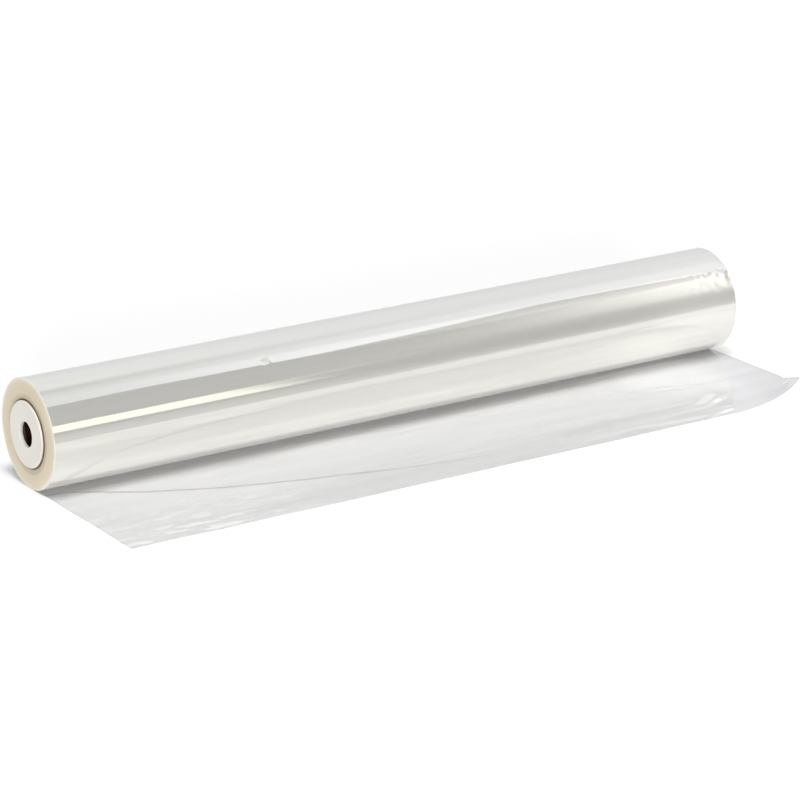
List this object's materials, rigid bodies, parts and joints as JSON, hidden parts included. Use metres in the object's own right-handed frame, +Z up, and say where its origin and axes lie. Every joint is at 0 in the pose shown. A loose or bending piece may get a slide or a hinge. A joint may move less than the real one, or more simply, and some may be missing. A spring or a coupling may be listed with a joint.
{
  "type": "cellophane roll",
  "caption": "Roll of clear cellophane film wound on a cardboard core with plastic end plugs, lying on its side with the loose end pulled out flat over the floor.",
  "frame": {"origin": "on the floor, under the middle of the roll's length, at the middle of its flat spot", "axes": "+X along the roll's axis towards the end away from the picture's viewer, -Y the way the loose end is pulled out, +Z up"},
  "size_m": [0.503, 0.1566, 0.067],
  "materials": {
    "clear_film": "clear glossy film, cream at the cut ends of the turns",
    "core_board": "spiral-wound brown board",
    "white_plastic": "moulded, fine matte"
  },
  "bodies": {
    "root": {"film": "clear_film", "core_tube": "core_board", "left_end_plug": "white_plastic", "right_end_plug": "white_plastic"}
  },
  "joints": []
}
